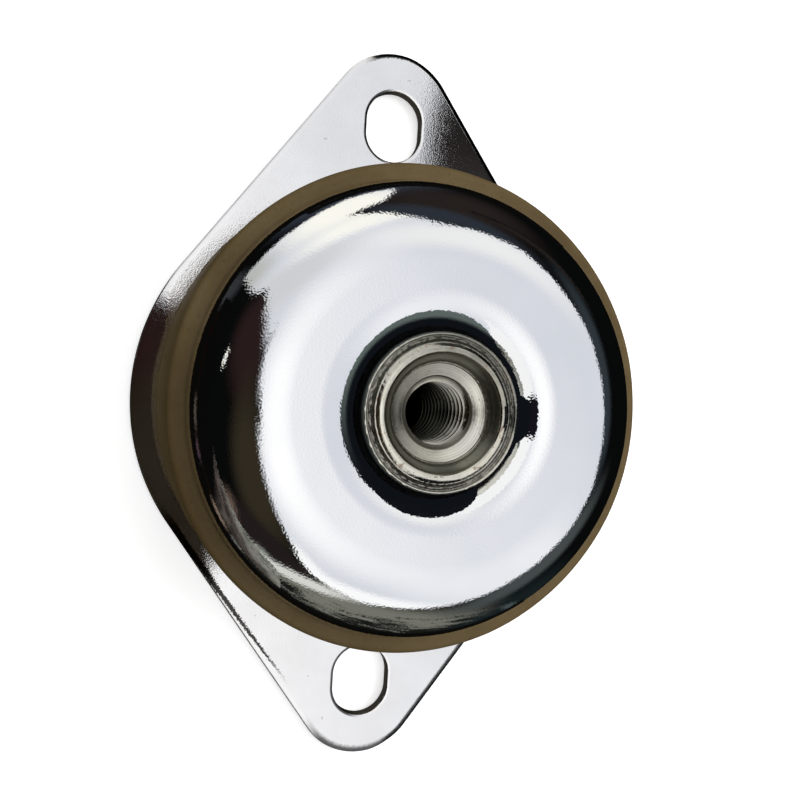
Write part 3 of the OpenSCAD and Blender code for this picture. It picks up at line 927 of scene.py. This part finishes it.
def glow(name, low, high=None, split=0.0, width=16.0):
    """Plain emission: one colour, or one that turns into another across Y = split, in millimetres."""
    mat = bpy.data.materials.new(name)
    mat.use_nodes = True
    n = Net(mat.node_tree)
    out = n.new("ShaderNodeOutputMaterial")
    em = n.new("ShaderNodeEmission")
    o, x, y, z, r = n.where()
    n.put(em.inputs["Color"], n.mix(n.step(y, (split - width / 2) * MM, (split + width / 2) * MM), low, high) if high else low)
    n.put(em.inputs["Strength"], 1.0)
    n.t.links.new(em.outputs[0], out.inputs["Surface"])
    return mat


def glow_from(name, colour):
    """Plain emission whose colour is worked out from the place."""
    mat = bpy.data.materials.new(name)
    mat.use_nodes = True
    n = Net(mat.node_tree)
    out = n.new("ShaderNodeOutputMaterial")
    em = n.new("ShaderNodeEmission")
    n.put(em.inputs["Color"], colour(n, *n.where()))
    n.put(em.inputs["Strength"], 1.0)
    n.t.links.new(em.outputs[0], out.inputs["Surface"])
    return mat


def glow_mottled(name):
    def colour(n, o, x, y, z, r):
        f = n.ramp(n.noise(o, 210.0, 3.0, 0.6), 0.36, 0.64)
        col = n.mix(f, lin(50, 44, 41), lin(96, 88, 84))
        col = n.mix(n.step(y, -0.027, -0.038), col, n.mix(f, lin(88, 88, 82), lin(146, 146, 138)))
        return n.mix(n.step(y, -0.023, -0.017), col, lin(9, 9, 9))
    return glow_from(name, colour)


def glow_rim(name):
    def colour(n, o, x, y, z, r):
        f = n.m("MULTIPLY", n.step(z, 0.0394, 0.0406), n.step(y, -0.010, 0.008))
        return n.mix(n.m("MULTIPLY", f, n.step(x, 0.011, 0.007)), lin(15, 18, 23), lin(92, 102, 99))
    return glow_from(name, colour)


def ring_piece(r0, r1, z0, z1, a0, a1, n=24):
    """A strip between two radii and heights, from angle a0 to a1 in degrees."""
    v, f = [], []
    for k in range(n + 1):
        a = math.radians(a0 + (a1 - a0) * k / n)
        v += [(r0 * math.cos(a), r0 * math.sin(a), z0), (r1 * math.cos(a), r1 * math.sin(a), z1)]
    for k in range(n):
        f.append((2 * k, 2 * k + 1, 2 * k + 3, 2 * k + 2))
    return v, f


def make_cards():
    """Small cards round the mount, as a photographer sets them to shape what bright metal mirrors."""
    # dark cards beside the mount: one low along the left side, one beyond the +Y ear
    v, f = ring_piece(41.6, 76.0, 30.0, 30.0, 154, 234, 40)
    stage_mesh("card_low", v, f, glow("card_low", lin(25, 17, 3), lin(26, 5, 2), 2, 14))
    v, f = ring_piece(41.6, 76.0, 30.25, 30.25, 154, 234, 40)
    stage_mesh("card_low_back", v, f, glow_mottled("card_low_back"))
    # over the rubber's shoulder and round it, so that the bell's foot mirrors little but dark
    v, f = ring_piece(40.35, 42.6, 28.1, 28.1, 50, 304, 84)
    stage_mesh("card_shoulder", v, f, glow("card_shoulder", lin(10, 9, 7)))
    for k, (a0, a1) in enumerate(((48, 124), (234, 304))):
        v, f = ring_piece(42.66, 42.66, 28.1, 30.0, a0, a1, 30)
        stage_mesh("card_foot_%d" % k, v, f, glow("card_foot_%d" % k, lin(12, 12, 11)))
    pts = [(19.9, 48), (40, 36), (85, 40), (85, 95), (26, 88), (22.0, 76), (20.2, 66), (19.6, 57)]
    stage_mesh("card_ear", [(x, y, 42.5) for x, y in pts], [tuple(range(len(pts)))],
               glow("card_ear", lin(36, 33, 31), lin(24, 20, 19), 60, 10))
    # two slim white ones over the insert's rim
    for k, (a0, a1) in enumerate(((9, 52), (-62, -10))):
        v, f = ring_piece(11.2, 11.2, 41.7, 48.5, a0, a1, 12)
        stage_mesh("card_rim_%d" % k, v, f, glow("card_rim_%d" % k, lin(250, 250, 250)))
    # and a dark one beside it, tallest towards +Y and -Y and open towards +X -Y
    tops = ((-34, 38.25), (-26, 39.0), (-17, 39.1), (-9, 41.7), (8, 41.7), (14, 39.1), (44, 39.0), (52, 39.5), (60, 40.8),
            (70, 41.85), (80, 42.2), (90, 42.25), (110, 41.8), (128, 41.3), (180, 41.25), (232, 41.5), (245, 42.6),
            (258, 43.5), (270, 43.8), (282, 43.3), (291, 42.4), (298, 40.8), (302, 39.2), (303, 38.25))
    v, f = [], []
    for k in range(338):
        az = k - 34
        for (a0, h0), (a1, h1) in zip(tops, tops[1:]):
            if a0 <= az <= a1:
                top = h0 + (h1 - h0) * (az - a0) / (a1 - a0)
        c, s_ = math.cos(math.radians(az)), math.sin(math.radians(az))
        v += [(13.9 * c, 13.9 * s_, 38.2), (13.9 * c, 13.9 * s_, top)]
        if k:
            f.append((2 * k - 2, 2 * k - 1, 2 * k + 1, 2 * k))
    stage_mesh("card_rim_dark", v, f, glow_rim("card_rim_dark"))
    v, f = ring_piece(11.3, 13.8, 41.6, 47.2, -10, 9, 8)
    stage_mesh("card_rim_patch", v, f, glow("card_rim_patch", lin(22, 19, 26)))
    # what the slots' walls mirror, and the dark below the bore
    for k, sign in enumerate((1, -1)):
        w, l, y = 6.2, 7.8, sign * SLOT_Y
        stage_mesh("slot_shade_%d" % k, [(-w, y - l, -0.15), (w, y - l, -0.15), (w, y + l, -0.15), (-w, y + l, -0.15)],
                   [(0, 1, 2, 3)], glow("slot_shade_%d" % k, lin(50, 48, 43)))
    # a dark disc under the hat: painted shade, seen through the bore
    ring = [(28 * math.cos(math.radians(10 * k)), 28 * math.sin(math.radians(10 * k)), -0.1) for k in range(36)]
    mat, n, p = shader("painted_shade_under_bore")
    n.put(p.inputs["Base Color"], (0.012, 0.012, 0.010, 1))
    n.put(p.inputs["Roughness"], 1.0)
    n.put(p.inputs["Specular IOR Level"], 0.0)
    stage_mesh("shade_disc_under_bore", ring, [tuple(range(36))], mat, glossy_only=False)


make_floor()
make_backdrop()
make_cards()


# ---------------------------------------------------------------- surroundings that the chrome mirrors

def make_world():
    world = bpy.data.worlds.new("studio")
    bpy.context.scene.world = world
    world.use_nodes = True
    n = Net(world.node_tree)
    out = n.new("ShaderNodeOutputWorld")
    bg = n.new("ShaderNodeBackground")
    d = n.new("ShaderNodeTexCoord").outputs["Generated"]
    sep = n.new("ShaderNodeSeparateXYZ")
    n.put(sep.inputs[0], d)
    x, y, z = sep.outputs
    # the sky laid flat: degrees from straight up, along +X and +Y
    deg = n.m("MULTIPLY", n.m("ARCCOSINE", n.m("MINIMUM", n.m("MAXIMUM", z, -0.99999), 0.99999)), 180 / math.pi)
    rho = n.m("MAXIMUM", n.m("SQRT", n.m("ADD", n.m("MULTIPLY", x, x), n.m("MULTIPLY", y, y))), 1e-4)
    k = n.m("DIVIDE", deg, rho)
    comb = n.new("ShaderNodeCombineXYZ")
    n.put(comb.inputs[0], n.m("MULTIPLY", x, k))
    n.put(comb.inputs[1], n.m("MULTIPLY", y, k))
    uv = comb.outputs[0]

    def inside(poly):
        """Distance in degrees to the nearest side of a convex, anticlockwise outline, positive inside."""
        best = None
        for (ax, ay), (bx, by) in zip(poly, poly[1:] + poly[:1]):
            ln = math.hypot(bx - ax, by - ay)
            nx, ny = -(by - ay) / ln, (bx - ax) / ln
            s = n.m("SUBTRACT", n.v("DOT_PRODUCT", uv, (nx, ny, 0)), nx * ax + ny * ay)
            best = s if best is None else n.m("MINIMUM", best, s)
        return best

    def blob(col, c, size, angle, soft, colour, amount=1.0):
        a = math.radians(angle)
        rel = n.v("SUBTRACT", uv, (c[0], c[1], 0))
        p = n.m("MULTIPLY", n.v("DOT_PRODUCT", rel, (math.cos(a), math.sin(a), 0)), 1 / size[0])
        q = n.m("MULTIPLY", n.v("DOT_PRODUCT", rel, (-math.sin(a), math.cos(a), 0)), 1 / size[1])
        dist = n.m("SQRT", n.m("ADD", n.m("MULTIPLY", p, p), n.m("MULTIPLY", q, q)))
        return n.mix(n.step(dist, 1 - soft, 1 + soft, amount, 0.0), col, colour)

    # long level streaks low down in front
    streaks = n.noise(n.v("MULTIPLY", uv, (0.035, 0.20, 0.0)), 1.0, 3.0, 0.6)
    band = n.mix(n.ramp(n.m("ADD", streaks, n.ramp(deg, 80, 124, -0.16, 0.14)), 0.47, 0.58), lin(118, 118, 109), lin(24, 26, 24))

    col = lin(8, 9, 9)
    col = blob(col, (0, 130), (60, 24), 8, 0.6, lin(52, 58, 68), 0.9)
    col = blob(col, (25, 143), (26, 6), 8, 0.7, lin(120, 130, 140), 0.8)
    col = blob(col, (30, 85), (36, 26), -20, 0.6, lin(40, 34, 32), 0.9)
    col = blob(col, (20, 66), (34, 9), -38, 0.5, lin(44, 50, 58), 0.9)
    col = blob(col, (68, 12), (9, 32), 5, 0.6, lin(50, 57, 62), 0.9)
    col = blob(col, (-100, 76), (13, 13), 0, 0.6, lin(52, 54, 57), 0.9)
    col = blob(col, (-52, 24), (23, 24), 30, 0.45, lin(41, 28, 28), 0.95)
    col = blob(col, (-45, -28), (20, 31), 0, 0.5, lin(50, 44, 33), 0.9)
    col = blob(col, (0, -104), (82, 32), 0, 0.35, band, 0.95)
    col = blob(col, (62, -52), (34, 12), 48, 0.5, lin(72, 78, 78), 0.9)
    col = blob(col, (92, -88), (34, 26), 0, 0.5, lin(24, 32, 34), 0.9)
    col = blob(col, (-52, -66), (33, 15), -12, 0.35, lin(33, 27, 27), 0.97)
    col = blob(col, (-64, -89), (17, 10), 40, 0.4, lin(176, 179, 172), 0.9)
    col = blob(col, (-32, -81), (30, 6.0), 14, 0.5, lin(214, 215, 209), 0.95)
    col = blob(col, (-90, -76), (11, 26), -28, 0.45, lin(122, 104, 92), 0.9)
    col = blob(col, (86, -86), (12, 2.5), -12, 0.6, lin(80, 88, 88), 0.7)
    col = blob(col, (-127, -14), (13, 11), 0, 0.6, lin(76, 70, 64), 0.8)
    col = blob(col, (-124, -42), (10, 8), 0, 0.6, lin(70, 54, 62), 0.8)

    light = lin(213, 216, 223)
    light = blob(light, (-40, 44), (30, 13), 0, 0.6, lin(207, 208, 210), 1.0)
    light = blob(light, (40, -40), (40, 22), -30, 0.7, lin(233, 235, 239), 1.0)
    light = blob(light, (24, 38), (28, 14), -20, 0.7, lin(236, 237, 236), 1.0)
    light = blob(light, (-8, -8), (20, 29), 0, 0.75, lin(255, 255, 255), 1.0)
    light = blob(light, (-8, 70), (30, 10), 14, 0.6, lin(248, 247, 240), 1.0)
    light = blob(light, (0, -67), (30, 8), 0, 0.6, lin(252, 252, 252), 1.0)
    light = blob(light, (-22, -58), (7, 12), 20, 0.6, lin(250, 250, 250), 1.0)
    light = blob(light, (-20, 98), (34, 22), 20, 0.6, lin(252, 250, 240), 1.0)
    light = blob(light, (-82, 70), (22, 17), 0, 0.7, lin(184, 186, 182), 1.0)
    main = inside([(-32.5, 17), (-30.5, -24), (-25, -60), (-20, -67), (0, -75), (28, -67), (43, -57), (58, -43), (67, -33),
                   (70, -21), (60, 20), (44, 44), (21, 53)])
    upper = inside([(-86, 75), (-80, 65), (-70, 52), (-56, 46.5), (0, 35), (21, 53), (0, 75), (-19, 86)])
    lower = inside([(-56, 50), (-47, 33), (-36, 18), (10, 8), (30, 45), (0, 60)])
    tip = inside([(-20, 84), (0, 96), (16, 119), (-13, 118), (-32, 110), (-58, 97), (-86, 75), (-55, 64)])
    lit = n.m("MAXIMUM", n.m("MAXIMUM", main, upper), n.m("MAXIMUM", lower, tip))
    notch = n.m("SUBTRACT", n.v("LENGTH", n.v("SUBTRACT", uv, (-33.5, -4, 0))), 6.8)
    lit = n.m("MINIMUM", lit, notch)
    # the room's light borders are a little ragged
    lit = n.m("ADD", lit, n.ramp(n.noise(uv, 0.35, 2.0, 0.6), 0.3, 0.7, -1.6, 1.6))
    # softest on the left
    axes = n.new("ShaderNodeSeparateXYZ")
    n.put(axes.inputs[0], uv)
    soft = n.m("MULTIPLY", n.step(axes.outputs[0], -20, -29), n.step(axes.outputs[1], -46, -26))
    soft = n.m("MULTIPLY", soft, n.step(axes.outputs[1], 44, 30))
    soft = n.ramp(soft, 0.0, 1.0, 1.4, 4.2)
    col = n.mix(n.step(lit, n.m("MULTIPLY", soft, -1.0), soft), col, light)
    # a distant window low on the left
    col = blob(col, (-82, 19), (4.8, 2.4), 60, 0.35, lin(235, 235, 225), 1.0)

    n.put(bg.inputs["Color"], col)
    n.put(bg.inputs["Strength"], 1.07)
    n.t.links.new(bg.outputs[0], out.inputs["Surface"])
    world.cycles_visibility.diffuse = False


make_world()


def area(name, at, to, size, power, colour=(1, 1, 1)):
    la = bpy.data.lights.new(name, "AREA")
    la.shape = "DISK"
    la.size = size
    la.energy = power
    la.color = colour
    ob = bpy.data.objects.new(name, la)
    bpy.context.scene.collection.objects.link(ob)
    ob.location = at
    ob.rotation_euler = (Vector(to) - Vector(at)).to_track_quat("-Z", "Y").to_euler()
    ob.visible_glossy = False
    return ob


area("soft_top", (0.40, 0.36, 0.97), (0, 0, 0), 1.4, 9.6)
area("soft_right", (0.80, 0.15, 0.65), (0, 0, 0.02), 0.9, 4.5)
area("soft_front", (0.15, -0.70, 0.60), (0, 0, 0.02), 0.8, 2.5)
area("soft_back", (-0.20, 0.80, 0.42), (0, 0, 0.02), 0.6, 1.3)
area("soft_left", (-0.80, 0.06, 0.17), (0, 0, 0.01), 0.6, 2.4)


# ---------------------------------------------------------------- camera

def make_camera():
    cam = bpy.data.cameras.new("camera")
    cam.sensor_width = 36.0
    cam.lens = 1002.7 / 800 * 36.0
    cam.clip_start, cam.clip_end = 0.005, 20.0
    ob = bpy.data.objects.new("camera", cam)
    bpy.context.scene.collection.objects.link(ob)
    turn = Vector((0.0236, 0.3041, -0.0591))
    rot = Matrix.Rotation(turn.length, 3, turn.normalized())
    at = -(rot.transposed() @ Vector((-5.267, -0.830, -199.7))) * MM
    ob.matrix_world = Matrix.Translation(at) @ rot.transposed().to_4x4()
    bpy.context.scene.camera = ob
    return ob


make_camera()
view = bpy.context.scene.view_settings
view.view_transform = "Standard"
view.look = "None"
view.exposure = 0.0
view.gamma = 1.0
